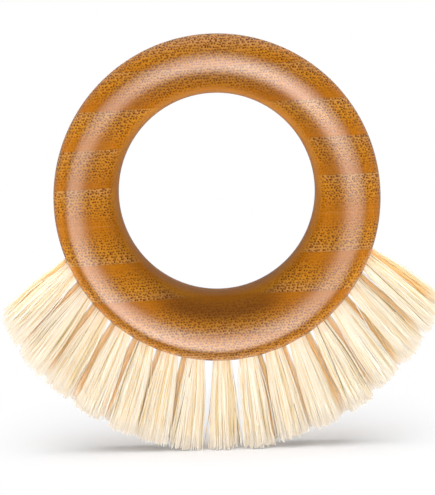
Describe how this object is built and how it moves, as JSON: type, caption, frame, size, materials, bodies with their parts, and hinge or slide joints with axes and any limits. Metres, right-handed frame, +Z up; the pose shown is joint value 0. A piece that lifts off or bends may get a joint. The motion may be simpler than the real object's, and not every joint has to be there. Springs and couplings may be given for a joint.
{
  "type": "vegetable_brush",
  "caption": "Vegetable brush: a turned ring handle of glued bamboo boards with a finger hole, and rows of stiff pale plant-fibre tufts fanning out of its lower rim.",
  "frame": {"origin": "Middle of the bottom of the brush's box: on the stand plane of the tuft tips, under the ring's centre.", "axes": "+X runs across the ring to the right as seen from the front, +Y runs from front to back through the finger hole, +Z is up from the tuft tips to the top of the ring."},
  "size_m": [0.1266, 0.024, 0.1204],
  "materials": {
    "bamboo": "Carbonised bamboo under a satin clear lacquer",
    "plant_fibre": "Dry, pale, undyed plant fibre with a slight sheen",
    "staple_wire": "Plain drawn steel wire"
  },
  "bodies": {
    "root": {"ring_board_1": "bamboo", "ring_board_2": "bamboo", "ring_board_3_left": "bamboo", "ring_board_3_right": "bamboo", "ring_board_4_left": "bamboo", "ring_board_4_right": "bamboo", "ring_board_5_left": "bamboo", "ring_board_5_right": "bamboo", "ring_board_6_left": "bamboo", "ring_board_6_right": "bamboo", "ring_board_7": "bamboo", "ring_board_8": "bamboo", "ring_board_9": "bamboo", "bristles_left": "plant_fibre", "bristles_middle": "plant_fibre", "bristles_right": "plant_fibre", "staple_front_1": "staple_wire", "staple_front_2": "staple_wire", "staple_front_3": "staple_wire", "staple_front_4": "staple_wire", "staple_front_5": "staple_wire", "staple_front_6": "staple_wire", "staple_front_7": "staple_wire", "staple_front_8": "staple_wire", "staple_front_9": "staple_wire", "staple_front_10": "staple_wire", "staple_front_11": "staple_wire", "staple_front_12": "staple_wire", "staple_front_13": "staple_wire", "staple_front_14": "staple_wire", "staple_front_15": "staple_wire", "staple_back_1": "staple_wire", "staple_back_2": "staple_wire", "staple_back_3": "staple_wire", "staple_back_4": "staple_wire", "staple_back_5": "staple_wire", "staple_back_6": "staple_wire", "staple_back_7": "staple_wire", "staple_back_8": "staple_wire", "staple_back_9": "staple_wire", "staple_back_10": "staple_wire", "staple_back_11": "staple_wire", "staple_back_12": "staple_wire", "staple_back_13": "staple_wire", "staple_back_14": "staple_wire", "staple_back_15": "staple_wire"}
  },
  "joints": []
}
